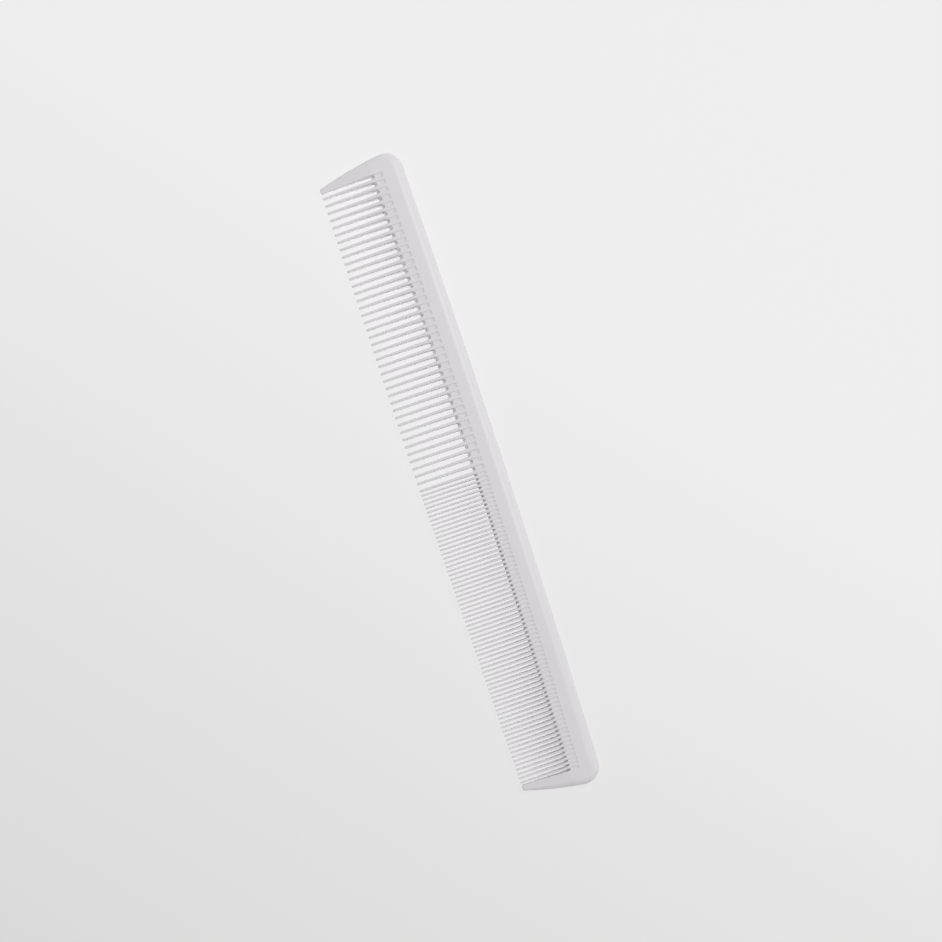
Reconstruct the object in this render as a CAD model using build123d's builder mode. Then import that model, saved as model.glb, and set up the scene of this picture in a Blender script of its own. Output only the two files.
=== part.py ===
from build123d import *

import math
import os

# A barber's cutting comb: one moulding with coarse teeth on one half and fine teeth on the other.
# X runs along the comb from the coarse end to the fine end, the teeth point along -Y and Z is the
# thickness. The origin is at the bottom centre of the bounding box, so the comb lies on Z = 0.
# The moulding is written as its working regions, which meet face to face along the root line.

# Overall size
LENGTH = 190.0
WIDTH = 25.8
THICKNESS = 4.6
BACK_Y = WIDTH / 2
TIP_Y = -WIDTH / 2
MARGIN = 1.0

# Back and root line, two shallow arches
BACK_ARCH_RADIUS = 4000.0
BACK_CROWN_X = -4.0
ROOT_ARCH_RADIUS = 3370.0
ROOT_CROWN_X = 8.0
ROOT_CROWN_Y = 3.62
CORNER_RADIUS = 5.0
BACK_ROUNDING = 2.15

# Run of gaps and teeth, from the coarse guard to the fine guard
FIELD_START_X = -89.64
COARSE_COUNT = 40
COARSE_PITCH = 2.2195
COARSE_GAP = 1.24
MIDDLE_TOOTH = 0.90
FINE_COUNT = 69
FINE_PITCH = 1.2728
FINE_GAP = 0.63

# Shape of the teeth
COARSE_TIP = 0.78
FINE_TIP = 0.50
TIP_CORNER_SHARE = 0.42
COARSE_TIP_SLOPE = 0.0026
FINE_TIP_SLOPE = 0.0177
TOOTH_LEAN = 0.010
TAPER_START_Y = 1.8
TIP_THICKNESS = 1.6
TIP_NOSE = 0.6

# Grooves at the slot roots, on both faces of the spine
GROOVE_LENGTH = 3.47
GROOVE_STEP = 0.15
GROOVE_DEPTH = 0.45
GROOVE_RAMP_END = 0.85
RIDGE_LAND = 0.4
RIDGE_SETBACK = 0.05

# End guards: the outer edge of each is an arc that would crown beyond the corner of the comb
EDGE_CROWN_X = 95.85
EDGE_CROWN_Y = 20.0
EDGE_RADIUS = 106.0
COARSE_GUARD_INNER_TIP_X = -89.2
FINE_GUARD_INNER_TIP_X = 89.6
GUARD_STATIONS = 5
GUARD_NOSE = 0.45
GUARD_NOSE_ANGLES = (30, 60, 90)

# Places that follow from the run of gaps and teeth
HALF_LENGTH = LENGTH / 2
TIP_MIDDLE_Y = TIP_Y - COARSE_TIP_SLOPE * FIELD_START_X
COARSE_TOOTH = COARSE_PITCH - COARSE_GAP
FINE_TOOTH = FINE_PITCH - FINE_GAP
FIRST_COARSE_X = FIELD_START_X + COARSE_GAP + COARSE_TOOTH / 2
MIDDLE_TOOTH_X = FIELD_START_X + COARSE_COUNT * COARSE_PITCH + COARSE_GAP + MIDDLE_TOOTH / 2
FIRST_FINE_X = MIDDLE_TOOTH_X + MIDDLE_TOOTH / 2 + FINE_GAP + FINE_TOOTH / 2
FIELD_END_X = FIRST_FINE_X + FINE_COUNT * FINE_PITCH - FINE_TOOTH / 2
coarse_xs = [FIRST_COARSE_X + i * COARSE_PITCH for i in range(COARSE_COUNT)]
fine_xs = [FIRST_FINE_X + i * FINE_PITCH for i in range(FINE_COUNT)]
coarse_gap_xs = [x - COARSE_PITCH / 2 for x in coarse_xs + [coarse_xs[-1] + COARSE_PITCH]]
fine_gap_xs = [x - FINE_PITCH / 2 for x in fine_xs + [fine_xs[-1] + FINE_PITCH]]


def root_y(x):
    """Height of the root line of the teeth at x."""
    return ROOT_CROWN_Y - (x - ROOT_CROWN_X) ** 2 / (2 * ROOT_ARCH_RADIUS)


def back_y(x):
    """Height of the back edge at x."""
    return BACK_Y - (x - BACK_CROWN_X) ** 2 / (2 * BACK_ARCH_RADIUS)


def tip_y(x):
    """Height of the tip line at x, which bends up at the middle and rises along the fine teeth."""
    return TIP_MIDDLE_Y + (COARSE_TIP_SLOPE if x < 0 else FINE_TIP_SLOPE) * x


def edge_x(y):
    """Distance from the middle of the comb to either end edge at height y."""
    return EDGE_CROWN_X - (EDGE_CROWN_Y - y) ** 2 / (2 * EDGE_RADIUS)


def half_thickness(y, tip):
    """Half the thickness at y: full down to the start of the taper, then straight to the tip."""
    share = max(TAPER_START_Y - y, 0) / (TAPER_START_Y - tip)
    return (THICKNESS - share * (THICKNESS - TIP_THICKNESS)) / 2


def tooth_outline(x, root_width, tip_width):
    """Front view of one tooth, from above the root line to its rounded tip."""
    root, tip = root_y(x), tip_y(x)
    tip_x = x + TOOTH_LEAN * (root - tip)
    with BuildSketch(mode=Mode.PRIVATE) as outline:
        with BuildLine():
            Polyline(
                (x - root_width / 2, root + MARGIN),
                (x - root_width / 2, root),
                (tip_x - tip_width / 2, tip),
                (tip_x + tip_width / 2, tip),
                (x + root_width / 2, root),
                (x + root_width / 2, root + MARGIN),
                close=True,
            )
        make_face()
        fillet(outline.vertices().group_by(Axis.Y)[0], tip_width * TIP_CORNER_SHARE)
    return outline.sketch


def tooth_side(x):
    """Side view of the teeth at x: full thickness, then a taper down to a rounded nose."""
    tip = tip_y(x)
    half_tip = TIP_THICKNESS / 2
    with BuildSketch(Plane.YZ.offset(x), mode=Mode.PRIVATE) as side:
        with BuildLine():
            Polyline(
                (BACK_Y, 0),
                (TAPER_START_Y, 0),
                (tip, THICKNESS / 2 - half_tip),
                (tip, THICKNESS / 2 + half_tip),
                (TAPER_START_Y, THICKNESS),
                (BACK_Y, THICKNESS),
                close=True,
            )
        make_face()
        fillet(side.sketch_local.vertices().group_by(Axis.X)[0], TIP_NOSE)
    return side.sketch


def groove_wedge():
    """Lengthwise section of the wedge cut from both faces at a slot root, with its ridge at the origin."""
    half = THICKNESS / 2
    with BuildSketch(mode=Mode.PRIVATE) as wedge:
        with BuildLine():
            Polyline(
                (-MARGIN, 0),
                (0, 0),
                (0, RIDGE_LAND / 2),
                (GROOVE_RAMP_END, half - GROOVE_DEPTH),
                (GROOVE_LENGTH, half - GROOVE_STEP),
                (GROOVE_LENGTH, half + MARGIN),
                (-MARGIN, half + MARGIN),
                close=True,
            )
        make_face()
        mirror(about=Plane.XZ)
    return wedge.sketch


def ridge_plane(x):
    """Plane along the slot at x, with its origin on the ridge and its local x pointing up the comb."""
    return Plane(origin=(x, root_y(x) + RIDGE_SETBACK, THICKNESS / 2), x_dir=(0, 1, 0), z_dir=(1, 0, 0))


def region_below_root_line():
    """Front view of everything below the root line, level across the end guards."""
    with BuildSketch(mode=Mode.PRIVATE) as region:
        with BuildLine():
            arch = ThreePointArc(
                (FIELD_START_X, root_y(FIELD_START_X)),
                (ROOT_CROWN_X, ROOT_CROWN_Y),
                (FIELD_END_X, root_y(FIELD_END_X)),
            )
            Polyline(
                arch @ 1,
                (LENGTH, root_y(FIELD_END_X)),
                (LENGTH, TIP_Y - MARGIN),
                (-LENGTH, TIP_Y - MARGIN),
                (-LENGTH, root_y(FIELD_START_X)),
                arch @ 0,
            )
        make_face()
    return region.sketch


os.makedirs("parts", exist_ok=True)
below_root_line = region_below_root_line()
wedge = groove_wedge()

# Spine: the rounded back with its corners, cut off along the root line and grooved at every slot
with BuildPart() as spine:
    with BuildSketch() as outline:
        with BuildLine():
            coarse_edge = ThreePointArc(*[(-edge_x(y), y) for y in (back_y(-HALF_LENGTH), 0, TIP_Y)])
            fine_edge = ThreePointArc(*[(edge_x(y), y) for y in (back_y(HALF_LENGTH), 0, TIP_Y)])
            ThreePointArc(coarse_edge @ 0, (BACK_CROWN_X, BACK_Y), fine_edge @ 0)
            Line(coarse_edge @ 1, fine_edge @ 1)
        make_face()
        fillet(outline.vertices().sort_by(Axis.Y)[-2:], CORNER_RADIUS)
    extrude(amount=THICKNESS)
    faces_up_and_down = spine.faces().filter_by(Axis.Z)
    fillet(faces_up_and_down.edges().filter_by(lambda edge: edge.center().Y > TIP_Y / 2), BACK_ROUNDING)
    extrude(below_root_line, amount=THICKNESS, mode=Mode.SUBTRACT)
    with BuildSketch(*[ridge_plane(x) for x in coarse_gap_xs]):
        add(wedge)
    extrude(amount=COARSE_GAP / 2, both=True, mode=Mode.SUBTRACT)
    with BuildSketch(*[ridge_plane(x) for x in fine_gap_xs]):
        add(wedge)
    extrude(amount=FINE_GAP / 2, both=True, mode=Mode.SUBTRACT)
spine.part.label = "spine"
export_step(spine.part, "parts/spine.step")

# End guards: wedges that thin and narrow from the root line to a rounded tip
guards = {
    "coarse_end_guard": (FIELD_START_X, COARSE_GUARD_INNER_TIP_X),
    "fine_end_guard": (FIELD_END_X, FINE_GUARD_INNER_TIP_X),
}
for name, (inner_root_x, inner_tip_x) in guards.items():
    root, tip = root_y(inner_root_x), tip_y(inner_root_x)
    taper = TAPER_START_Y - tip - GUARD_NOSE
    stations = [(root, 0.0)]
    stations += [(TAPER_START_Y - taper * i / GUARD_STATIONS, 0.0) for i in range(GUARD_STATIONS + 1)]
    for angle in GUARD_NOSE_ANGLES:
        turn = math.radians(angle)
        stations.append((tip + GUARD_NOSE * (1 - math.sin(turn)), GUARD_NOSE * (1 - math.cos(turn))))
    with BuildPart() as guard:
        for y, inset in stations:
            half = half_thickness(y, tip)
            outer_x = math.copysign(edge_x(y), inner_root_x)
            inner_x = inner_root_x + (inner_tip_x - inner_root_x) * (root - y) / (root - tip)
            middle = ((outer_x + inner_x) / 2, 0)
            level = Plane(origin=(0, y, THICKNESS / 2), x_dir=(1, 0, 0), z_dir=(0, -1, 0))
            with BuildSketch(level) as section:
                with Locations(middle):
                    Rectangle(abs(outer_x - inner_x) - 2 * inset, 2 * (half - inset))
                outer_corners = section.vertices().group_by(Axis.X)[-1 if outer_x > 0 else 0]
                fillet(outer_corners, half * 2 * BACK_ROUNDING / THICKNESS - inset)
        loft(ruled=True)
    guard.part.label = name
    export_step(guard.part, f"parts/{name}.step")

# Coarse teeth, with the one tooth of its own width where the pitch changes
with BuildPart() as coarse_teeth:
    with BuildSketch():
        add([tooth_outline(x, COARSE_TOOTH, COARSE_TIP) for x in coarse_xs])
        add(tooth_outline(MIDDLE_TOOTH_X, MIDDLE_TOOTH, COARSE_TIP))
        add(below_root_line, mode=Mode.INTERSECT)
    extrude(amount=THICKNESS)
    loft([tooth_side(-HALF_LENGTH), tooth_side(MIDDLE_TOOTH_X + FINE_GAP)], mode=Mode.INTERSECT)
coarse_teeth.part.label = "coarse_teeth"
export_step(coarse_teeth.part, "parts/coarse_teeth.step")

# Fine teeth, which shorten towards the fine end
with BuildPart() as fine_teeth:
    with BuildSketch():
        add([tooth_outline(x, FINE_TOOTH, FINE_TIP) for x in fine_xs])
        add(below_root_line, mode=Mode.INTERSECT)
    extrude(amount=THICKNESS)
    loft([tooth_side(0), tooth_side(HALF_LENGTH)], mode=Mode.INTERSECT)
fine_teeth.part.label = "fine_teeth"
export_step(fine_teeth.part, "parts/fine_teeth.step")
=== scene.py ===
"""A white moulded cutting comb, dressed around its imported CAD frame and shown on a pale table.

The comb is one moulding. Its back and its two end guards are drafted face by face from the arcs that
bound them, and its two rows of teeth are grown by one Geometry Nodes tree. All sizes are in metres.
"""

import logging
import math
from collections.abc import Iterable, Sequence
from dataclasses import dataclass, field
from enum import Enum

import bmesh
import bpy
from mathutils import Matrix, Vector


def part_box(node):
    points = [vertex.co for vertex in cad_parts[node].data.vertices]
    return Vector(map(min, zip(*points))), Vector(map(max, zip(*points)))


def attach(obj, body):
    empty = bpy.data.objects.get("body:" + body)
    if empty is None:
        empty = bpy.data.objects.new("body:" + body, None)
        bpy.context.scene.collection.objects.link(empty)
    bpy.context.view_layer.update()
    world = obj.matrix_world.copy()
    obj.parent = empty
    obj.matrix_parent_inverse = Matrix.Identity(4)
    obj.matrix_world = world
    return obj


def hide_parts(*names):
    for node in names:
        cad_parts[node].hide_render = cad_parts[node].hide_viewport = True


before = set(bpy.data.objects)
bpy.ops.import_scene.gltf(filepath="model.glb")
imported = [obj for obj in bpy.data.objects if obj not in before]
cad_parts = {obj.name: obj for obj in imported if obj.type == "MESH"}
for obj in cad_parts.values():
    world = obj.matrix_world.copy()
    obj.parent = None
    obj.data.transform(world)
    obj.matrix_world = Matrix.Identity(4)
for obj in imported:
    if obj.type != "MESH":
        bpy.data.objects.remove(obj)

LOG = logging.getLogger("comb")
MM = 0.001
BODY = "root"
SLOT = "white_plastic"
SHARP_ANGLE = math.radians(50)
Point = tuple[float, float, float]


class Side(Enum):
    """The two broad faces of the comb, by the sign of their height over its middle plane."""

    UPPER = 1
    LOWER = -1


class End(Enum):
    """The two ends of the comb, by the sign of their place along it."""

    COARSE = -1
    FINE = 1


class Part(Enum):
    """What a lengthwise line over the slots runs along."""

    FLAT = "flat"
    BEVEL = "bevel"
    WALL = "wall"
    FLOOR = "floor"


# --- Shape shared by every piece ---------------------------------


@dataclass(frozen=True)
class RowSizes:
    """The count, pitch and widths of one row of teeth."""

    count: int
    pitch: float
    gap: float
    tip_width: float
    edge_radius: float
    draft: float

    @property
    def root_width(self) -> float:
        """Width of a tooth at the root line."""
        return self.pitch - self.gap


COARSE_ROW = RowSizes(40, 2.2195 * MM, 1.24 * MM, 0.78 * MM, 0.15 * MM, 0.10 * MM)
FINE_ROW = RowSizes(69, 1.2728 * MM, 0.63 * MM, 0.50 * MM, 0.11 * MM, 0.08 * MM)
MIDDLE_TOOTH_WIDTH = 0.90 * MM
GUARD_EDGE_RADIUS = 0.16 * MM
COARSE_GUARD_TIP_X = -89.2 * MM
FINE_GUARD_TIP_X = 89.6 * MM
VIEW_CENTRE_X = -0.02 * MM
VIEW_CENTRE_Y = 3.22 * MM


@dataclass(frozen=True)
class CombShape:
    """The arcs, lines and tapers that bound the moulding.

    The overall length, width and thickness and the start of the row of slots come from the frame. The
    rest are the moulding's own driving sizes.
    """

    length: float
    width: float
    thickness: float
    field_start: float
    back_radius: float = 4000 * MM
    back_crown_x: float = -4 * MM
    root_radius: float = 3370 * MM
    root_crown_x: float = 8 * MM
    root_crown_y: float = 3.62 * MM
    coarse_tip_slope: float = 0.0026
    fine_tip_slope: float = 0.0177
    edge_crown_x: float = 95.85 * MM
    edge_crown_y: float = 20 * MM
    edge_radius: float = 106 * MM
    taper_start_y: float = 1.8 * MM
    tip_thickness: float = 1.6 * MM
    lean: float = 0.010

    @property
    def half(self) -> float:
        """Half the thickness over the back."""
        return self.thickness / 2

    @property
    def middle_tooth(self) -> float:
        """Left side of the one tooth between the coarse row and the fine row, at the root line."""
        return self.field_start + COARSE_ROW.count * COARSE_ROW.pitch + COARSE_ROW.gap

    @property
    def fine_start(self) -> float:
        """Start of the fine row, at the right side of the middle tooth."""
        return self.middle_tooth + MIDDLE_TOOTH_WIDTH

    @property
    def field_end(self) -> float:
        """End of the row of slots, at the wall of the fine guard."""
        return self.fine_start + FINE_ROW.count * FINE_ROW.pitch + FINE_ROW.gap

    @property
    def tip_middle_y(self) -> float:
        """Height of the tip line where it bends, at the middle of the comb."""
        return -self.width / 2 - self.coarse_tip_slope * self.field_start

    def root_y(self, x: float) -> float:
        """Height of the root line of the teeth at x."""
        return self.root_crown_y - (x - self.root_crown_x) ** 2 / (2 * self.root_radius)

    def back_y(self, x: float) -> float:
        """Height of the back edge at x."""
        return self.width / 2 - (x - self.back_crown_x) ** 2 / (2 * self.back_radius)

    def back_slope(self, x: float) -> float:
        """Slope of the back edge at x."""
        return -(x - self.back_crown_x) / self.back_radius

    def tip_y(self, x: float) -> float:
        """Height of the tip line at x."""
        return self.tip_middle_y + self.tip_slope(x) * x

    def tip_slope(self, x: float) -> float:
        """Slope of the tip line on the half of the comb that x is on."""
        return self.coarse_tip_slope if x < 0 else self.fine_tip_slope

    def edge_x(self, y: float) -> float:
        """Distance from the middle of the comb to either end edge at height y."""
        return self.edge_crown_x - (self.edge_crown_y - y) ** 2 / (2 * self.edge_radius)

    def edge_slope(self, y: float) -> float:
        """How far an end edge moves outwards for each unit of height at y."""
        return (self.edge_crown_y - y) / self.edge_radius

    def half_thickness(self, y: float, tip: float) -> float:
        """Half the thickness at height y of a tooth or guard that ends at tip."""
        share = max(self.taper_start_y - y, 0.0) / (self.taper_start_y - tip)
        return self.half - share * (self.thickness - self.tip_thickness) / 2

    def place(self, x: float, y: float, z: float) -> Point:
        """A point given by its height over the middle plane, in the frame."""
        return x, y, z + self.half


# --- Mesh drafting -----------------------------------------------


class MeshDraft:
    """Collects faces by their corner points and welds the points that coincide."""

    WELD = 1e8

    def __init__(self) -> None:
        """Starts an empty draft."""
        self.points: list[Point] = []
        self.faces: list[list[int]] = []
        self._known: dict[tuple[int, int, int], int] = {}

    def corner(self, point: Point) -> int:
        """Number of the welded corner at a point."""
        key = tuple(round(value * self.WELD) for value in point)
        if key not in self._known:
            self._known[key] = len(self.points)
            self.points.append(point)
        return self._known[key]

    def face(self, points: Iterable[Point]) -> None:
        """Adds a face, less the corners that fall together.

        Args:
            points: the corners in order round the face.
        """
        ring: list[int] = []
        for point in points:
            corner = self.corner(point)
            if not ring or ring[-1] != corner:
                ring.append(corner)
        if len(ring) > 1 and ring[0] == ring[-1]:
            ring.pop()
        if len(ring) > 2:
            self.faces.append(ring)

    def strips(self, rows: Sequence[Sequence[Point]], closed: bool = False) -> None:
        """Adds quads between neighbouring rows of points.

        Args:
            rows: rows with the same number of points each.
            closed: whether each row is a ring.
        """
        for low, high in zip(rows, rows[1:]):
            last = len(low) if closed else len(low) - 1
            for i in range(last):
                j = (i + 1) % len(low)
                self.face((low[i], low[j], high[j], high[i]))

    def to_mesh(self, name: str) -> bpy.types.Mesh:
        """Makes the closed mesh, with every face turned outwards.

        Args:
            name: the mesh's name.

        Returns:
            The new mesh.
        """
        mesh = bpy.data.meshes.new(name)
        mesh.from_pydata(self.points, [], self.faces)
        shell = bmesh.new()
        shell.from_mesh(mesh)
        bmesh.ops.recalc_face_normals(shell, faces=shell.faces)
        open_edges = sum(not edge.is_manifold for edge in shell.edges)
        shell.to_mesh(mesh)
        shell.free()
        mesh.update()
        LOG.info("%s: %d faces, %d open edges", name, len(mesh.polygons), open_edges)
        return mesh


def add_object(name: str, data: bpy.types.ID) -> bpy.types.Object:
    """A new object with its data, linked to the scene."""
    made = bpy.data.objects.new(name, data)
    bpy.context.scene.collection.objects.link(made)
    return made


def settled(rough: bpy.types.Object) -> bpy.types.Mesh:
    """The plain mesh that an object's modifiers make of it; the object is removed."""
    depsgraph = bpy.context.evaluated_depsgraph_get()
    mesh = bpy.data.meshes.new_from_object(rough.evaluated_get(depsgraph))
    bpy.data.objects.remove(rough)
    return mesh


def finish_piece(name: str, mesh: bpy.types.Mesh, material: bpy.types.Material) -> bpy.types.Object:
    """Shades a mesh, weights its normals by face area and links it to the scene.

    Args:
        name: the piece's name.
        mesh: its closed mesh.
        material: its one material.

    Returns:
        The finished piece, with no live modifier.
    """
    mesh.materials.clear()
    mesh.materials.append(material)
    mesh.shade_smooth()
    mesh.set_sharp_from_angle(angle=SHARP_ANGLE)
    rough = add_object(name + "_draft", mesh)
    weighted = rough.modifiers.new("weighted", "WEIGHTED_NORMAL")
    weighted.mode = "FACE_AREA"
    weighted.keep_sharp = True
    final = settled(rough)
    final.name = name
    return add_object(name, final)


def declare(piece: bpy.types.Object, *nodes: str) -> None:
    """Hides the CAD nodes that a piece stands for, and has it ride on the comb's one body."""
    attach(piece, BODY)
    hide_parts(*nodes)


# --- Rounded edge ------------------------------------------------


@dataclass(frozen=True)
class Rounding:
    """The rounded edge of the moulding: a quarter ellipse on each face, meeting at the middle plane."""

    back_width: float = 2.9 * MM
    end_width: float = 2.1 * MM
    steps: int = 10

    def profile(self, width: float, half: float) -> list[tuple[float, float]]:
        """Distances from the edge and heights, from the upper face round to the lower one.

        Args:
            width: how far in from the edge the rounding reaches.
            half: half the thickness there.

        Returns:
            Pairs of distance and height.
        """
        turns = [math.pi / 2 * i / self.steps for i in range(self.steps, -self.steps - 1, -1)]
        return [(width * (1 - math.cos(turn)), half * math.sin(turn)) for turn in turns]


@dataclass(frozen=True)
class EdgeStation:
    """One place on the outline, with the inward ray and the width of the rounding there."""

    x: float
    y: float
    ray: tuple[float, float]
    width: float

    def rib(self, shape: CombShape, rounding: Rounding) -> list[Point]:
        """The rounding's points at this station, from the upper face round to the lower one."""
        return [
            shape.place(self.x + self.ray[0] * inward, self.y + self.ray[1] * inward, height)
            for inward, height in rounding.profile(self.width, shape.half)
        ]


# --- Back --------------------------------------------------------


@dataclass(frozen=True)
class SlotRoot:
    """The groove that each slot ends in on both faces: a low step, a ramp and a steep scoop.

    Heights up the comb are counted from the root line, and depths from the broad face.
    """

    length: float = 3.47 * MM
    lip: float = 0.28 * MM
    step: float = 0.31 * MM
    ramp_depth: float = 0.42 * MM
    scoop_side: float = 0.50 * MM
    scoop_middle: float = 1.02 * MM
    ridge_rise: float = 0.12 * MM
    draft: float = 0.03 * MM

    RAMP_SHARES = (0.4, 0.75, 1.0)
    SCOOP_SHARES = (0.25, 0.5, 0.75, 1.0)
    FLOOR_LINES = (-1.0, -0.6, 0.0, 0.6, 1.0)

    def rows(self, across: float, half: float) -> list[tuple[float, float]]:
        """Heights and depths down the groove.

        Args:
            across: place across the slot, from -1 to 1.
            half: half the comb's thickness.

        Returns:
            Pairs of height and depth, from the plain face down to the ridge.
        """
        bow = math.sqrt(max(1 - across**2, 0.0))
        scoop = self.scoop_side + (self.scoop_middle - self.scoop_side) * bow
        foot = self.length - self.lip
        down = [(self.length + self.lip, 0.0), (self.length + self.lip / 2, 0.1 * self.step)]
        down += [(self.length, 0.4 * self.step), (self.length - self.lip / 2, 0.8 * self.step)]
        down.append((foot, self.step))
        for share in self.RAMP_SHARES:
            down.append((foot + (scoop - foot) * share, self.step + (self.ramp_depth - self.step) * share))
        for share in self.SCOOP_SHARES:
            down.append((scoop * (1 - share), self.ramp_depth + (half - self.ramp_depth) * share**0.9))
        return down


@dataclass(frozen=True)
class SlotLine:
    """A lengthwise line over the slots: its place, what it runs along and the edge radius beside it."""

    x: float
    part: Part
    across: float = 1.0
    radius: float = 0.0


@dataclass
class Back:
    """The thick back with its rounded edge and corners, and the grooves at the root of every slot."""

    shape: CombShape
    rounding: Rounding = field(default_factory=Rounding)
    root: SlotRoot = field(default_factory=SlotRoot)
    corner_radius: float = 5.0 * MM
    corner_steps: int = 14
    edge_steps: int = 4
    shoulder_steps: int = 3

    CORNER_SHARE = 1 - math.cos(math.radians(45))
    CENTRE_ROUNDS = 20

    def teeth(self) -> list[tuple[float, float, float]]:
        """Left side, right side and edge radius of every tooth at the root line, coarse end first."""
        found = []
        for row, start in ((COARSE_ROW, self.shape.field_start), (FINE_ROW, self.shape.fine_start)):
            for i in range(row.count):
                left = start + i * row.pitch + row.gap
                found.append((left, left + row.root_width, row.edge_radius))
        middle = self.shape.middle_tooth
        found.insert(COARSE_ROW.count, (middle, middle + MIDDLE_TOOTH_WIDTH, COARSE_ROW.edge_radius))
        return found

    def lines(self) -> list[SlotLine]:
        """Every lengthwise line over the slots, from the coarse guard's wall to the fine guard's."""
        teeth = self.teeth()
        starts = [(self.shape.field_start, GUARD_EDGE_RADIUS)]
        starts += [(right, radius) for _, right, radius in teeth]
        ends = [(left, radius) for left, _, radius in teeth]
        ends.append((self.shape.field_end, GUARD_EDGE_RADIUS))
        found = []
        for number, ((start, start_radius), (end, end_radius)) in enumerate(zip(starts, ends)):
            floor_start, floor_end = start + self.root.draft, end - self.root.draft
            found += [
                SlotLine(start - start_radius, Part.FLAT),
                SlotLine(start - self.CORNER_SHARE * start_radius, Part.BEVEL, radius=start_radius),
                SlotLine(start, Part.WALL, radius=start_radius),
            ]
            for across in self.root.FLOOR_LINES:
                x = (floor_start + floor_end) / 2 + across * (floor_end - floor_start) / 2
                found.append(SlotLine(x, Part.FLOOR, across))
            found += [
                SlotLine(end, Part.WALL, radius=end_radius),
                SlotLine(end + self.CORNER_SHARE * end_radius, Part.BEVEL, radius=end_radius),
                SlotLine(end + end_radius, Part.FLAT),
            ]
            if number < len(teeth):
                found.append(SlotLine(sum(teeth[number][:2]) / 2, Part.FLAT))
        return found

    def line_points(self, line: SlotLine, side: Side) -> list[Point]:
        """Points down one lengthwise line, from the plain face to the root line.

        Args:
            line: the line.
            side: the broad face that it runs over.

        Returns:
            One point for each row of the groove.
        """
        found = []
        for height, depth in self.root.rows(line.across, self.shape.half):
            eased = min(1.0, depth / (2 * line.radius)) if line.radius else 0.0
            sink = {
                Part.FLAT: 0.0,
                Part.BEVEL: self.CORNER_SHARE * line.radius * eased,
                Part.WALL: line.radius * eased,
                Part.FLOOR: depth,
            }[line.part]
            if line.part is Part.FLOOR:
                height += self.root.ridge_rise * max(0.0, 1 - height / self.root.length)
            level = side.value * (self.shape.half - sink)
            found.append(self.shape.place(line.x, self.shape.root_y(line.x) + height, level))
        return found

    def corner_centre(self, end: End) -> tuple[float, float]:
        """Centre of the corner's arc, which touches the back edge and the end edge."""
        shape, sign = self.shape, end.value
        x, y = shape.length / 2 - self.corner_radius, 0.0
        for _ in range(self.CENTRE_ROUNDS):
            y = shape.back_y(sign * x) - self.corner_radius * math.hypot(1, shape.back_slope(sign * x))
            x = shape.edge_x(y) - self.corner_radius * math.hypot(1, shape.edge_slope(y))
        return sign * x, y

    def end_stations(self, end: End, root: float) -> list[EdgeStation]:
        """Stations from an end guard's root up the end edge and round the corner.

        Args:
            end: which end.
            root: height of the root line at the guard.

        Returns:
            The stations, from the guard to the back edge.
        """
        shape, rounding = self.shape, self.rounding
        centre_x, centre_y = self.corner_centre(end)
        edge_turn = -math.atan(shape.edge_slope(centre_y))
        back_turn = math.pi / 2 - end.value * math.atan(shape.back_slope(centre_x))
        foot = centre_y + self.corner_radius * math.sin(edge_turn)
        found = []
        for i in range(self.edge_steps):
            y = root + (foot - root) * i / self.edge_steps
            slope = shape.edge_slope(y)
            norm = math.hypot(1, slope)
            ray = (-end.value * norm, 0.0) if i == 0 else (-end.value / norm, slope / norm)
            found.append(EdgeStation(end.value * shape.edge_x(y), y, ray, rounding.end_width))
        for i in range(self.corner_steps + 1):
            share = i / self.corner_steps
            turn = edge_turn + (back_turn - edge_turn) * share
            out = (end.value * math.cos(turn), math.sin(turn))
            eased = share * share * (3 - 2 * share)
            width = rounding.end_width + (rounding.back_width - rounding.end_width) * eased
            x, y = centre_x + self.corner_radius * out[0], centre_y + self.corner_radius * out[1]
            found.append(EdgeStation(x, y, (-out[0], -out[1]), width))
        return found

    def back_stations(self, xs: Iterable[float]) -> list[EdgeStation]:
        """Stations along the back edge."""
        found = []
        for x in xs:
            slope = self.shape.back_slope(x)
            norm = math.hypot(1, slope)
            ray = (slope / norm, -1 / norm)
            found.append(EdgeStation(x, self.shape.back_y(x), ray, self.rounding.back_width))
        return found

    def mesh(self) -> bpy.types.Mesh:
        """Drafts the whole back as one closed mesh."""
        draft = MeshDraft()
        lines = self.lines()
        slots = {side: [self.line_points(line, side) for line in lines] for side in Side}
        for side in Side:
            draft.strips(slots[side])
        self._close_tooth_ends(draft, lines, slots)

        centres = [(left + right) / 2 for left, right, _ in self.teeth()]
        first, last = lines[0].x, lines[-1].x
        coarse = self.end_stations(End.COARSE, self.shape.root_y(self.shape.field_start))
        fine = self.end_stations(End.FINE, self.shape.root_y(self.shape.field_end))
        coarse += self.back_stations(spaced(coarse[-1].x, first, self.shoulder_steps)[1:-1])
        fine += self.back_stations(spaced(fine[-1].x, last, self.shoulder_steps)[1:-1])
        middle = self.back_stations([first, *centres, last])
        ribs = [station.rib(self.shape, self.rounding) for station in coarse + middle + fine[::-1]]
        draft.strips(ribs)

        starts = len(coarse)
        stops = starts + len(middle)
        grid = [0] + [i for i, line in enumerate(lines) if line.x in set(centres)] + [len(lines) - 1]
        for side, index in ((Side.UPPER, 0), (Side.LOWER, -1)):
            inner = [rib[index] for rib in ribs]
            plain = [points[0] for points in slots[side]]
            for station, (low, high) in enumerate(zip(grid, grid[1:]), start=starts):
                draft.face([inner[station], inner[station + 1], *reversed(plain[low : high + 1])])
            draft.face(inner[: starts + 1] + slots[side][0])
            draft.face(inner[stops - 1 :][::-1] + slots[side][-1])
        return draft.to_mesh("back")

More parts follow.
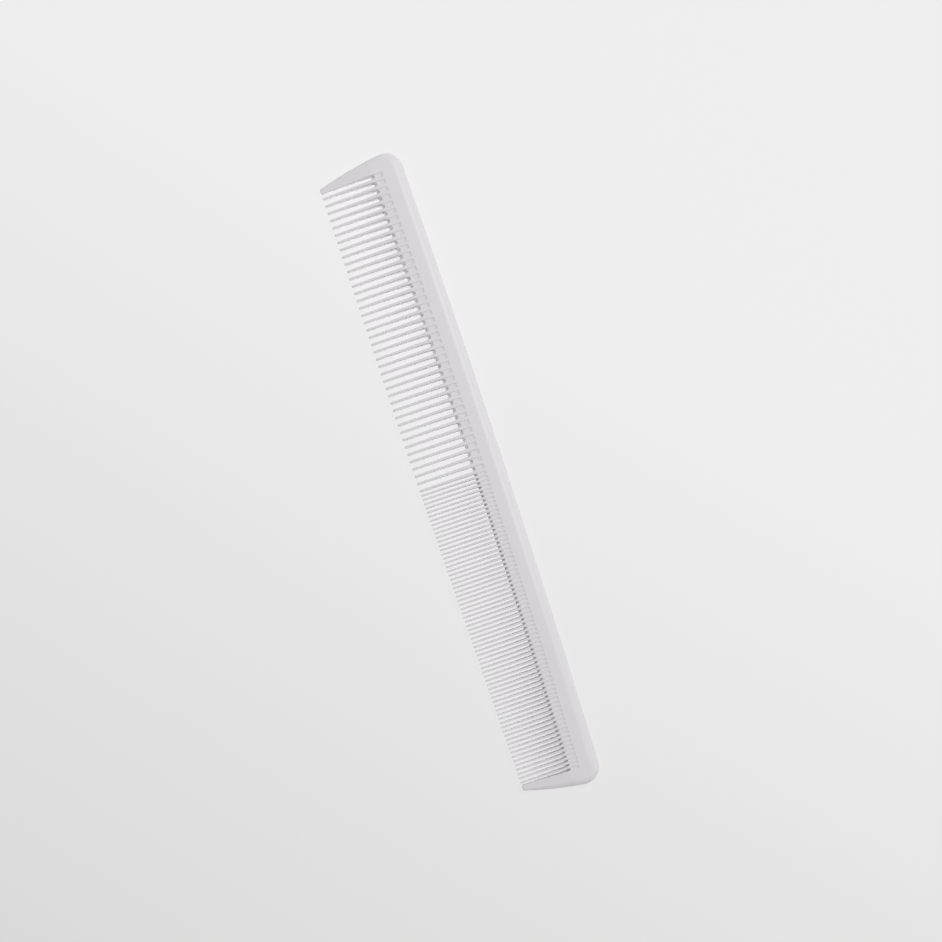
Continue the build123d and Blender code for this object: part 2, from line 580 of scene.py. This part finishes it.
    def _close_tooth_ends(
        self, draft: MeshDraft, lines: list[SlotLine], slots: dict[Side, list[list[Point]]]
    ) -> None:
        """Closes the back where the teeth and the guards grow out of it.

        Args:
            draft: the draft to add to.
            lines: the lengthwise lines over the slots.
            slots: the points down each line, for each side.
        """
        floors = [i for i, line in enumerate(lines) if line.part is Part.FLOOR and abs(line.across) == 1.0]
        upper = [points[-1] for points in slots[Side.UPPER]]
        lower = [points[-1] for points in slots[Side.LOWER]]
        for start, end in zip(floors[1::2], floors[2::2]):
            draft.face(upper[start : end + 1] + lower[start : end + 1][::-1])
        coarse = self.end_stations(End.COARSE, self.shape.root_y(self.shape.field_start))[0]
        fine = self.end_stations(End.FINE, self.shape.root_y(self.shape.field_end))[0]
        wall = upper[: floors[0] + 1][::-1]
        draft.face(wall + coarse.rib(self.shape, self.rounding) + lower[: floors[0]])
        wall = upper[floors[-1] :]
        draft.face(wall + fine.rib(self.shape, self.rounding) + lower[floors[-1] + 1 :][::-1])

    def build(self, material: bpy.types.Material) -> bpy.types.Object:
        """Makes the back and has it stand for its CAD node."""
        piece = finish_piece("comb_back", self.mesh(), material)
        declare(piece, "spine")
        return piece


def spaced(start: float, stop: float, steps: int) -> list[float]:
    """Evenly spaced values from start to stop, both included."""
    return [start + (stop - start) * i / steps for i in range(steps + 1)]


# --- End guards --------------------------------------------------


@dataclass
class EndGuard:
    """The solid wedge that guards one end of the row of teeth."""

    shape: CombShape
    end: End
    node: str
    inner_root_x: float
    inner_tip_x: float
    rounding: Rounding = field(default_factory=Rounding)
    body_rows: int = 16
    nose: float = 0.5 * MM
    nose_rows: int = 5
    nose_shrink: float = 0.62

    def section(self, y: float, tip: float) -> list[Point]:
        """The closed outline of the guard at one height.

        Args:
            y: the height.
            tip: height of the guard's tip.

        Returns:
            Points from the upper face round the outer edge and back along the inner flank.
        """
        shape, sign = self.shape, self.end.value
        root = shape.root_y(self.inner_root_x)
        half = shape.half_thickness(y, tip)
        width = self.rounding.end_width * half / shape.half
        inner = self.inner_root_x + (self.inner_tip_x - self.inner_root_x) * (root - y) / (root - tip)
        norm = math.hypot(1, shape.edge_slope(y))
        ring = [
            shape.place(sign * (shape.edge_x(y) - norm * inward), y, height)
            for inward, height in self.rounding.profile(width, half)
        ]
        radius = GUARD_EDGE_RADIUS
        cut = Back.CORNER_SHARE * radius
        flank = [(radius, half), (cut, half - cut), (0.0, half - radius)]
        lower = [shape.place(inner + sign * inset, y, -level) for inset, level in flank]
        upper = [shape.place(inner + sign * inset, y, level) for inset, level in reversed(flank)]
        return ring + lower + [shape.place(inner, y, 0.0)] + upper

    def mesh(self) -> bpy.types.Mesh:
        """Drafts the guard from its sections, with a rounded tip."""
        shape = self.shape
        root, tip = shape.root_y(self.inner_root_x), shape.tip_y(self.inner_root_x)
        rows = [self.section(y, tip) for y in spaced(root, tip + self.nose, self.body_rows)]
        whole = [Vector(point) for point in self.section(tip + self.nose, tip)]
        centre = sum(whole, Vector()) / len(whole)
        for i in range(1, self.nose_rows + 1):
            turn = math.pi / 2 * i / self.nose_rows
            scale = 1 - self.nose_shrink * (1 - math.cos(turn))
            drop = Vector((0, -self.nose * math.sin(turn), 0))
            rows.append([tuple(centre + (point - centre) * scale + drop) for point in whole])
        draft = MeshDraft()
        draft.strips(rows, closed=True)
        draft.face(rows[0])
        draft.face(rows[-1])
        return draft.to_mesh(self.node)

    def build(self, material: bpy.types.Material) -> bpy.types.Object:
        """Makes the guard and has it stand for its CAD node."""
        piece = finish_piece("guard_" + self.end.name.lower(), self.mesh(), material)
        declare(piece, self.node)
        return piece


# --- Teeth -------------------------------------------------------


class MathOp(Enum):
    """The arithmetic that a node tree needs, by Blender's names."""

    ADD = "ADD"
    SUBTRACT = "SUBTRACT"
    MULTIPLY = "MULTIPLY"
    DIVIDE = "DIVIDE"
    SIGN = "SIGN"
    ABSOLUTE = "ABSOLUTE"
    SINE = "SINE"
    COSINE = "COSINE"
    GREATER = "GREATER_THAN"


Value = bpy.types.NodeSocket | float
Feed = Value | str | Sequence[float]
Inputs = dict[str | int, Feed]


class TreeWriter:
    """Writes nodes into a tree and wires them by the values handed to it."""

    def __init__(self, tree: bpy.types.NodeTree) -> None:
        """Takes the tree to write into."""
        self.tree = tree

    def node(self, kind: str, inputs: Inputs | None = None, **settings: object) -> bpy.types.Node:
        """Adds a node.

        Args:
            kind: the node's type.
            inputs: what its sockets get, by their names or numbers.
            settings: its properties by name.

        Returns:
            The new node.
        """
        made = self.tree.nodes.new(kind)
        for name, value in settings.items():
            setattr(made, name, value)
        for key, value in (inputs or {}).items():
            self.feed(made.inputs[key], value)
        return made

    def feed(self, socket: bpy.types.NodeSocket, value: Feed) -> None:
        """Links a socket's input to another socket, or sets it to a plain value."""
        if isinstance(value, bpy.types.NodeSocket):
            self.tree.links.new(value, socket)
        else:
            socket.default_value = value

    def math(self, op: MathOp, *values: Value, clamp: bool = False) -> bpy.types.NodeSocket:
        """Adds one arithmetic node.

        Args:
            op: the operation.
            values: its inputs.
            clamp: whether the result is kept from 0 to 1.

        Returns:
            The result's socket.
        """
        inputs = dict(enumerate(values))
        return self.node("ShaderNodeMath", inputs, operation=op.value, use_clamp=clamp).outputs[0]

    def blend(self, share: Value, low: Value, high: Value) -> bpy.types.NodeSocket:
        """The value between low and high at a share from 0 to 1."""
        inputs = {0: share, 2: low, 3: high}
        return self.node("ShaderNodeMix", inputs, data_type="FLOAT", clamp_factor=True).outputs[0]


@dataclass
class ToothTree:
    """The Geometry Nodes tree that grows a row of teeth from one small block.

    The block has a ring of fourteen corners on each of its rows. The rows stand at the root line, at the
    start of the taper, at the foot of the rounded tip and at the steps round the tip. Below the root line
    each tooth is widest at the middle plane, where the two halves of the mould part. On the block, places
    through and across the tooth run from -1 to 1, and the two limits below tell its middle, inner and
    outer rows of corners apart.
    """

    name: str = "tooth_row"
    body_rows: int = 3
    nose_rows: int = 2
    nose_shrink: float = 0.60

    MIDDLE_ROW = 0.25
    OUTER_ROW = 0.75
    BLOCK_CORNERS = (4, 5)
    INPUTS = (
        "First X", "Pitch", "Root Width", "Tip Width", "Edge Radius", "Root Crown X", "Root Crown Y",
        "Root Radius", "Tip Middle Y", "Tip Slope", "Taper Start Y", "Half Thickness", "Half Tip Thickness",
        "Lean", "Nose", "Draft",
    )

    @property
    def rows(self) -> int:
        """Number of rows of corners on the block."""
        return self.body_rows + self.nose_rows

    def build(self) -> bpy.types.GeometryNodeTree:
        """Builds the tree, with an input for each of its sizes."""
        tree = bpy.data.node_groups.new(self.name, "GeometryNodeTree")
        tree.is_modifier = True
        tree.interface.new_socket("Geometry", in_out="INPUT", socket_type="NodeSocketGeometry")
        tree.interface.new_socket("Count", in_out="INPUT", socket_type="NodeSocketInt")
        for size in self.INPUTS:
            tree.interface.new_socket(size, in_out="INPUT", socket_type="NodeSocketFloat")
        tree.interface.new_socket("Material", in_out="INPUT", socket_type="NodeSocketMaterial")
        tree.interface.new_socket("Geometry", in_out="OUTPUT", socket_type="NodeSocketGeometry")

        write = TreeWriter(tree)
        given = write.node("NodeGroupInput").outputs
        teeth = self._realized_blocks(write, given["Count"])
        placing = {"Geometry": teeth, "Position": self._place(write, given)}
        shaped = write.node("GeometryNodeSetPosition", placing).outputs[0]
        dressing = {"Geometry": shaped, "Material": given["Material"]}
        write.node("NodeGroupOutput", {0: write.node("GeometryNodeSetMaterial", dressing).outputs[0]})
        return tree

    def _realized_blocks(self, write: TreeWriter, count: bpy.types.NodeSocket) -> bpy.types.NodeSocket:
        """Puts one block on each of a row of points, and makes them real.

        Args:
            write: the tree's writer.
            count: the number of teeth.

        Returns:
            The blocks, each carrying its number in the row.
        """
        wide, deep = self.BLOCK_CORNERS
        corners = {"Vertices X": wide, "Vertices Y": self.rows, "Vertices Z": deep}
        block = write.node("GeometryNodeMeshCube", {"Size": (2, self.rows - 1, 2), **corners})
        points = write.node("GeometryNodePoints", {"Count": count}).outputs[0]
        index = write.node("GeometryNodeInputIndex").outputs[0]
        numbering = {"Geometry": points, "Name": "tooth", "Value": index}
        numbered = write.node("GeometryNodeStoreNamedAttribute", numbering, data_type="INT", domain="POINT")
        planting = {"Points": numbered.outputs[0], "Instance": block.outputs["Mesh"]}
        planted = write.node("GeometryNodeInstanceOnPoints", planting).outputs[0]
        return write.node("GeometryNodeRealizeInstances", {0: planted}).outputs[0]

    def _place(self, write: TreeWriter, given: bpy.types.NodeOutputs) -> bpy.types.NodeSocket:
        """Works out where each corner of each block goes.

        Args:
            write: the tree's writer.
            given: the tree's inputs.

        Returns:
            The corner's position.
        """
        op, calc = MathOp, write.math
        number = write.node("GeometryNodeInputNamedAttribute", {"Name": "tooth"}, data_type="INT")
        unit = {0: write.node("GeometryNodeInputPosition").outputs[0]}
        across, down, through = write.node("ShaderNodeSeparateXYZ", unit).outputs

        stepped = calc(op.MULTIPLY, number.outputs[0], given["Pitch"])
        middle = calc(op.ADD, given["First X"], stepped)
        off_crown = calc(op.SUBTRACT, middle, given["Root Crown X"])
        arch = calc(op.DIVIDE, calc(op.MULTIPLY, off_crown, off_crown), given["Root Radius"])
        root = calc(op.SUBTRACT, given["Root Crown Y"], calc(op.MULTIPLY, arch, 0.5))
        tip = calc(op.ADD, given["Tip Middle Y"], calc(op.MULTIPLY, middle, given["Tip Slope"]))

        row = calc(op.SUBTRACT, (self.rows - 1) / 2, down)
        past_foot = calc(op.SUBTRACT, row, self.body_rows - 1)
        turned = calc(op.DIVIDE, past_foot, self.nose_rows, clamp=True)
        turn = calc(op.MULTIPLY, turned, math.pi / 2)
        upper = write.blend(row, root, given["Taper Start Y"])
        foot = calc(op.ADD, tip, given["Nose"])
        body = write.blend(calc(op.SUBTRACT, row, 1.0), upper, foot)
        height = calc(op.SUBTRACT, body, calc(op.MULTIPLY, given["Nose"], calc(op.SINE, turn)))
        closed = calc(op.SUBTRACT, 1.0, calc(op.COSINE, turn))
        scale = calc(op.SUBTRACT, 1.0, calc(op.MULTIPLY, closed, self.nose_shrink))

        fall = calc(op.SUBTRACT, root, body)
        narrow = calc(op.DIVIDE, fall, calc(op.SUBTRACT, root, tip))
        half_width = calc(op.MULTIPLY, write.blend(narrow, given["Root Width"], given["Tip Width"]), 0.5)
        past = calc(op.SUBTRACT, given["Taper Start Y"], body)
        thin = calc(op.DIVIDE, past, calc(op.SUBTRACT, given["Taper Start Y"], tip), clamp=True)
        half_depth = write.blend(thin, given["Half Thickness"], given["Half Tip Thickness"])

        off_middle = calc(op.GREATER, calc(op.ABSOLUTE, through), self.MIDDLE_ROW)
        below_root = calc(op.MULTIPLY, row, 1.0, clamp=True)
        drafted = calc(op.MULTIPLY, calc(op.MULTIPLY, off_middle, below_root), given["Draft"])
        face_width = calc(op.SUBTRACT, half_width, drafted)

        x = self._rounded(write, across, through, face_width, given["Edge Radius"])
        z = self._rounded(write, through, across, half_depth, given["Edge Radius"])
        leaned = calc(op.ADD, middle, calc(op.MULTIPLY, given["Lean"], fall))
        placed_x = calc(op.ADD, leaned, calc(op.MULTIPLY, x, scale))
        placed_z = calc(op.ADD, given["Half Thickness"], calc(op.MULTIPLY, z, scale))
        return write.node("ShaderNodeCombineXYZ", {0: placed_x, 1: height, 2: placed_z}).outputs[0]

    def _rounded(self, write: TreeWriter, along: Value, other: Value, half: Value, radius: Value) -> Value:
        """One coordinate of a corner on the rounded section.

        Args:
            write: the tree's writer.
            along: the block's coordinate in this direction, from -1 to 1.
            other: its coordinate in the other direction.
            half: half the section's size in this direction.
            radius: radius of the section's corners.

        Returns:
            The coordinate.
        """
        outer = write.math(MathOp.GREATER, write.math(MathOp.ABSOLUTE, along), self.OUTER_ROW)
        corner = write.math(MathOp.GREATER, write.math(MathOp.ABSOLUTE, other), self.OUTER_ROW)
        inset = write.blend(outer, 1.0, write.math(MathOp.MULTIPLY, corner, Back.CORNER_SHARE))
        reach = write.math(MathOp.SUBTRACT, half, write.math(MathOp.MULTIPLY, inset, radius))
        return write.math(MathOp.MULTIPLY, write.math(MathOp.SIGN, along), reach)


@dataclass
class ToothRow:
    """One or more runs of evenly spaced teeth, grown by the tooth tree."""

    shape: CombShape
    tree: bpy.types.GeometryNodeTree
    node: str
    nose: float = 0.42 * MM

    def run(
        self, count: int, first_x: float, sizes: RowSizes, root_width: float, material: bpy.types.Material
    ) -> bpy.types.Mesh:
        """Grows one run of teeth.

        Args:
            count: the number of teeth.
            first_x: place of the first one.
            sizes: the row's sizes.
            root_width: width of each tooth at the root line.
            material: the material they get.

        Returns:
            The run as one plain mesh.
        """
        shape = self.shape
        values = {
            "Count": count, "First X": first_x, "Pitch": sizes.pitch, "Root Width": root_width,
            "Tip Width": sizes.tip_width, "Edge Radius": sizes.edge_radius,
            "Root Crown X": shape.root_crown_x, "Root Crown Y": shape.root_crown_y,
            "Root Radius": shape.root_radius,
            "Tip Middle Y": shape.tip_middle_y, "Tip Slope": shape.tip_slope(first_x - sizes.pitch),
            "Taper Start Y": shape.taper_start_y, "Half Thickness": shape.half,
            "Half Tip Thickness": shape.tip_thickness / 2, "Lean": shape.lean, "Nose": self.nose,
            "Draft": sizes.draft, "Material": material,
        }
        grower = add_object(self.node + "_grower", bpy.data.meshes.new(self.node + "_grower"))
        modifier = grower.modifiers.new("teeth", "NODES")
        modifier.node_group = self.tree
        for item in self.tree.interface.items_tree:
            if item.in_out == "INPUT" and item.name in values:
                modifier[item.identifier] = values[item.name]
        return settled(grower)

    def build(
        self, name: str, runs: Sequence[bpy.types.Mesh], material: bpy.types.Material
    ) -> bpy.types.Object:
        """Joins the runs into one piece and has it stand for its CAD node.

        Args:
            name: the piece's name.
            runs: the grown runs of teeth.
            material: the piece's material.

        Returns:
            The finished piece.
        """
        joined = bmesh.new()
        for run in runs:
            joined.from_mesh(run)
        mesh = bpy.data.meshes.new(name)
        joined.to_mesh(mesh)
        joined.free()
        LOG.info("%s: %d faces", name, len(mesh.polygons))
        piece = finish_piece(name, mesh, material)
        declare(piece, self.node)
        return piece


# --- Finish ------------------------------------------------------


def open_material(name: str) -> tuple[bpy.types.Material, TreeWriter]:
    """A new material with an empty node tree, and the tree's writer."""
    material = bpy.data.materials.new(name)
    material.use_nodes = True
    material.node_tree.nodes.clear()
    return material, TreeWriter(material.node_tree)


def open_group(
    name: str, result: str
) -> tuple[bpy.types.ShaderNodeTree, TreeWriter, bpy.types.NodeOutputs]:
    """A new shader group from a position and a scale to one value.

    Args:
        name: the group's name.
        result: the name of the value it puts out.

    Returns:
        The group, its writer and its inputs.
    """
    group = bpy.data.node_groups.new(name, "ShaderNodeTree")
    group.interface.new_socket("Position", in_out="INPUT", socket_type="NodeSocketVector")
    group.interface.new_socket("Scale", in_out="INPUT", socket_type="NodeSocketFloat")
    group.interface.new_socket(result, in_out="OUTPUT", socket_type="NodeSocketFloat")
    write = TreeWriter(group)
    return group, write, write.node("NodeGroupInput").outputs


@dataclass(frozen=True)
class MouldedPlastic:
    """Opaque white moulded plastic with a satin surface.

    The tone drifts a little along the moulding, as the flow of the melt leaves it, and the surface has
    the fine spark-eroded grain of the mould.
    """

    name: str = SLOT
    light_tone: tuple[float, float, float, float] = (0.955, 0.930, 0.957, 1)
    dark_tone: tuple[float, float, float, float] = (0.940, 0.915, 0.942, 1)
    roughness: tuple[float, float] = (0.36, 0.44)
    flow_scale: float = 55.0
    flow_detail: float = 3.0
    flow_distortion: float = 0.6
    grain_scale: float = 5200.0
    grain_detail: float = 2.0
    grain_cells: float = 0.35
    grain_height: float = 0.010 * MM
    grain_strength: float = 0.25
    ior: float = 1.5
    specular: float = 0.42
    scatter: float = 0.12
    scatter_depth: float = 0.8 * MM

    def flow_group(self) -> bpy.types.ShaderNodeTree:
        """Shader group of slow drifts over the moulding, from its object coordinates."""
        group, write, given = open_group("melt_flow", "Drift")
        at = {"Vector": given["Position"], "Scale": given["Scale"]}
        drift = {"Detail": self.flow_detail, "Distortion": self.flow_distortion}
        noise = write.node("ShaderNodeTexNoise", {**at, **drift}, noise_dimensions="3D")
        write.node("NodeGroupOutput", {0: noise.outputs[0]})
        return group

    def grain_group(self) -> bpy.types.ShaderNodeTree:
        """Shader group of the mould's fine grain as a height."""
        group, write, given = open_group("mould_grain", "Height")
        at = {"Vector": given["Position"], "Scale": given["Scale"]}
        fine = write.node("ShaderNodeTexNoise", {**at, "Detail": self.grain_detail}, noise_dimensions="3D")
        cells = write.node("ShaderNodeTexVoronoi", at, feature="SMOOTH_F1")
        height = write.blend(self.grain_cells, fine.outputs[0], cells.outputs[0])
        write.node("NodeGroupOutput", {0: height})
        return group

    def build(self) -> bpy.types.Material:
        """Makes the material."""
        material, write = open_material(self.name)
        position = write.node("ShaderNodeTexCoord").outputs["Object"]

        flowing = {"Position": position, "Scale": self.flow_scale}
        drift = write.node("ShaderNodeGroup", flowing, node_tree=self.flow_group()).outputs[0]
        mixing = {0: drift, 6: self.light_tone, 7: self.dark_tone}
        tone = write.node("ShaderNodeMix", mixing, data_type="RGBA").outputs[2]

        graining = {"Position": position, "Scale": self.grain_scale}
        grain = write.node("ShaderNodeGroup", graining, node_tree=self.grain_group()).outputs[0]
        raising = {"Height": grain, "Strength": self.grain_strength, "Distance": self.grain_height}
        plastic = write.node("ShaderNodeBsdfPrincipled", {
            "Base Color": tone,
            "Roughness": write.blend(drift, *self.roughness),
            "Normal": write.node("ShaderNodeBump", raising).outputs[0],
            "IOR": self.ior,
            "Specular IOR Level": self.specular,
            "Subsurface Weight": self.scatter,
            "Subsurface Radius": (1.0, 1.0, 1.0),
            "Subsurface Scale": self.scatter_depth,
        })
        write.node("ShaderNodeOutputMaterial", {0: plastic.outputs[0]})
        return material


# --- Table, light and camera -------------------------------------


@dataclass
class Table:
    """The pale table top that the comb lies on, lit from within so that hardly a shadow falls on it.

    Its glow fades evenly from one side of the table to the other. It sends more light up into the slots
    than it shows, less to where it is mirrored, and the plain amount past the comb's outline.
    """

    size: float = 3.0
    drop: float = 0.02 * MM
    dimmest: float = 0.50
    brightest: float = 0.783
    at_origin: float = 0.752
    slope_x: float = -0.429
    slope_y: float = 0.455
    bounce: float = 1.9
    open_bounce: float = 1.12
    mirrored: float = 0.5
    sheltered: tuple[float, float] = (94.0 * MM, 12.4 * MM)
    slot_reach: float = 0.30 * MM
    tone: tuple[float, float, float, float] = (0.10, 0.10, 0.10, 1)

    def material(self) -> bpy.types.Material:
        """Pale surface whose glow fades evenly across it, and which is clear from below."""
        material, write = open_material("pale_table")
        material.cycles.emission_sampling = "NONE"
        position = write.node("ShaderNodeTexCoord").outputs["Object"]
        axes = write.node("ShaderNodeSeparateXYZ", {0: position}).outputs
        glow = write.node("ShaderNodeEmission", {"Strength": self._strength(write, axes[:2])}).outputs[0]
        top = write.node("ShaderNodeBsdfDiffuse", {"Color": self.tone}).outputs[0]
        lit = write.node("ShaderNodeAddShader", {0: glow, 1: top}).outputs[0]
        below = write.node("ShaderNodeNewGeometry").outputs["Backfacing"]
        clear = write.node("ShaderNodeBsdfTransparent").outputs[0]
        seen = write.node("ShaderNodeMixShader", {0: below, 1: lit, 2: clear})
        write.node("ShaderNodeOutputMaterial", {0: seen.outputs[0]})
        return material

    def _strength(self, write: TreeWriter, places: Sequence[Value]) -> Value:
        """How strongly the table glows, by place and by the kind of ray that meets it.

        Args:
            write: the material's writer.
            places: the place along and across the comb.

        Returns:
            The strength of the glow.
        """
        fall = write.math(MathOp.MULTIPLY, places[0], self.slope_x)
        rise = write.math(MathOp.MULTIPLY, places[1], self.slope_y)
        level = write.math(MathOp.ADD, write.math(MathOp.ADD, fall, rise), self.at_origin)
        kept = write.node("ShaderNodeClamp", {0: level, 1: self.dimmest, 2: self.brightest})
        ray = write.node("ShaderNodeLightPath").outputs
        under = write.math(MathOp.GREATER, ray["Ray Length"], self.slot_reach)
        for place, reach in zip(places, self.sheltered):
            inside = write.math(MathOp.GREATER, reach, write.math(MathOp.ABSOLUTE, place))
            under = write.math(MathOp.MULTIPLY, inside, under)
        diffuse = write.blend(under, self.open_bounce, self.bounce)
        indirect = write.blend(ray["Is Glossy Ray"], diffuse, self.mirrored)
        share = write.blend(ray["Is Camera Ray"], indirect, 1.0)
        return write.math(MathOp.MULTIPLY, kept.outputs[0], share)

    def build(self) -> bpy.types.Object:
        """Makes the table top just under the comb."""
        half = self.size / 2
        corners = [(-half, -half), (half, -half), (half, half), (-half, half)]
        mesh = bpy.data.meshes.new("table_top")
        mesh.from_pydata([(x, y, -self.drop) for x, y in corners], [], [(0, 1, 2, 3)])
        mesh.materials.append(self.material())
        top = add_object("table_top", mesh)
        return top


@dataclass(frozen=True)
class SoftLight:
    """One large soft light, by where it stands, what it faces and how strong it is."""

    name: str
    place: Point
    size: tuple[float, float]
    power: float

    def build(self) -> bpy.types.Object:
        """Makes the light, facing the comb."""
        lamp = bpy.data.lights.new(self.name, "AREA")
        lamp.shape = "RECTANGLE"
        lamp.size, lamp.size_y = self.size
        lamp.energy = self.power
        made = add_object(self.name, lamp)
        made.location = self.place
        made.rotation_euler = (-Vector(self.place)).to_track_quat("-Z", "Y").to_euler()
        return made


@dataclass
class Studio:
    """The plain pale room: even light from all round, and soft lights over the comb."""

    ambient: float = 0.38
    lights: tuple[SoftLight, ...] = (
        SoftLight("high_back", (-0.12, 0.33, 0.66), (0.40, 0.25), 2.12),
    )

    def build(self) -> None:
        """Makes the surroundings and the lights."""
        world = bpy.data.worlds.new("pale_room")
        world.use_nodes = True
        backdrop = world.node_tree.nodes["Background"]
        backdrop.inputs["Color"].default_value = (1, 1, 1, 1)
        backdrop.inputs["Strength"].default_value = self.ambient
        bpy.context.scene.world = world
        for light in self.lights:
            light.build()


@dataclass
class Viewpoint:
    """The camera: nearly overhead, turned so that the comb runs from upper left to lower right."""

    target: Point
    distance: float = 500.4 * MM
    tilt: float = math.radians(1.82)
    roll: float = math.radians(18.2)
    lens: float = 66.65
    sensor: float = 36.0
    clip: tuple[float, float] = (0.01, 20.0)

    def build(self) -> bpy.types.Object:
        """Makes the camera and has the scene use it."""
        away = Vector((math.sin(self.tilt), 0, math.cos(self.tilt)))
        along = Vector((math.cos(self.tilt), 0, -math.sin(self.tilt)))
        across = Vector((0, 1, 0))
        right = along * math.sin(self.roll) + across * math.cos(self.roll)
        up = across * math.sin(self.roll) - along * math.cos(self.roll)
        place = Vector(self.target) + away * self.distance
        lens = bpy.data.cameras.new("camera")
        lens.lens, lens.sensor_width = self.lens, self.sensor
        lens.clip_start, lens.clip_end = self.clip
        camera = add_object("camera", lens)
        camera.matrix_world = Matrix.Translation(place) @ Matrix((right, up, away)).transposed().to_4x4()
        bpy.context.scene.camera = camera
        return camera


# --- Everything in order -----------------------------------------


def comb_shape() -> CombShape:
    """Reads the comb's outer sizes and the start of its row of slots from the frame."""
    corners = [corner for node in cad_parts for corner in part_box(node)]
    low = [min(corner[axis] for corner in corners) for axis in range(3)]
    high = [max(corner[axis] for corner in corners) for axis in range(3)]
    length, width, thickness = (top - bottom for bottom, top in zip(low, high))
    first_tooth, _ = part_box("coarse_teeth")
    LOG.info("comb of %.1f x %.1f x %.1f mm", length / MM, width / MM, thickness / MM)
    return CombShape(length, width, thickness, first_tooth.x - COARSE_ROW.gap)


def main() -> None:
    """Builds and dresses the comb, the table, the light and the camera."""
    logging.basicConfig(level=logging.INFO, format="%(message)s")
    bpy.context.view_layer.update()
    bpy.context.scene.view_settings.view_transform = "Standard"
    shape = comb_shape()
    plastic = MouldedPlastic().build()
    Back(shape).build(plastic)
    EndGuard(shape, End.COARSE, "coarse_end_guard", shape.field_start, COARSE_GUARD_TIP_X).build(plastic)
    EndGuard(shape, End.FINE, "fine_end_guard", shape.field_end, FINE_GUARD_TIP_X).build(plastic)

    tree = ToothTree().build()
    coarse = ToothRow(shape, tree, "coarse_teeth")
    first = shape.field_start + COARSE_ROW.pitch - COARSE_ROW.root_width / 2
    middle = shape.middle_tooth + MIDDLE_TOOTH_WIDTH / 2
    runs = [
        coarse.run(COARSE_ROW.count, first, COARSE_ROW, COARSE_ROW.root_width, plastic),
        coarse.run(1, middle, COARSE_ROW, MIDDLE_TOOTH_WIDTH, plastic),
    ]
    coarse.build("teeth_coarse", runs, plastic)
    fine = ToothRow(shape, tree, "fine_teeth")
    first = shape.fine_start + FINE_ROW.pitch - FINE_ROW.root_width / 2
    run = fine.run(FINE_ROW.count, first, FINE_ROW, FINE_ROW.root_width, plastic)
    fine.build("teeth_fine", [run], plastic)

    Table().build()
    Studio().build()
    Viewpoint((VIEW_CENTRE_X, VIEW_CENTRE_Y, shape.half)).build()


if __name__ == "__main__":
    main()
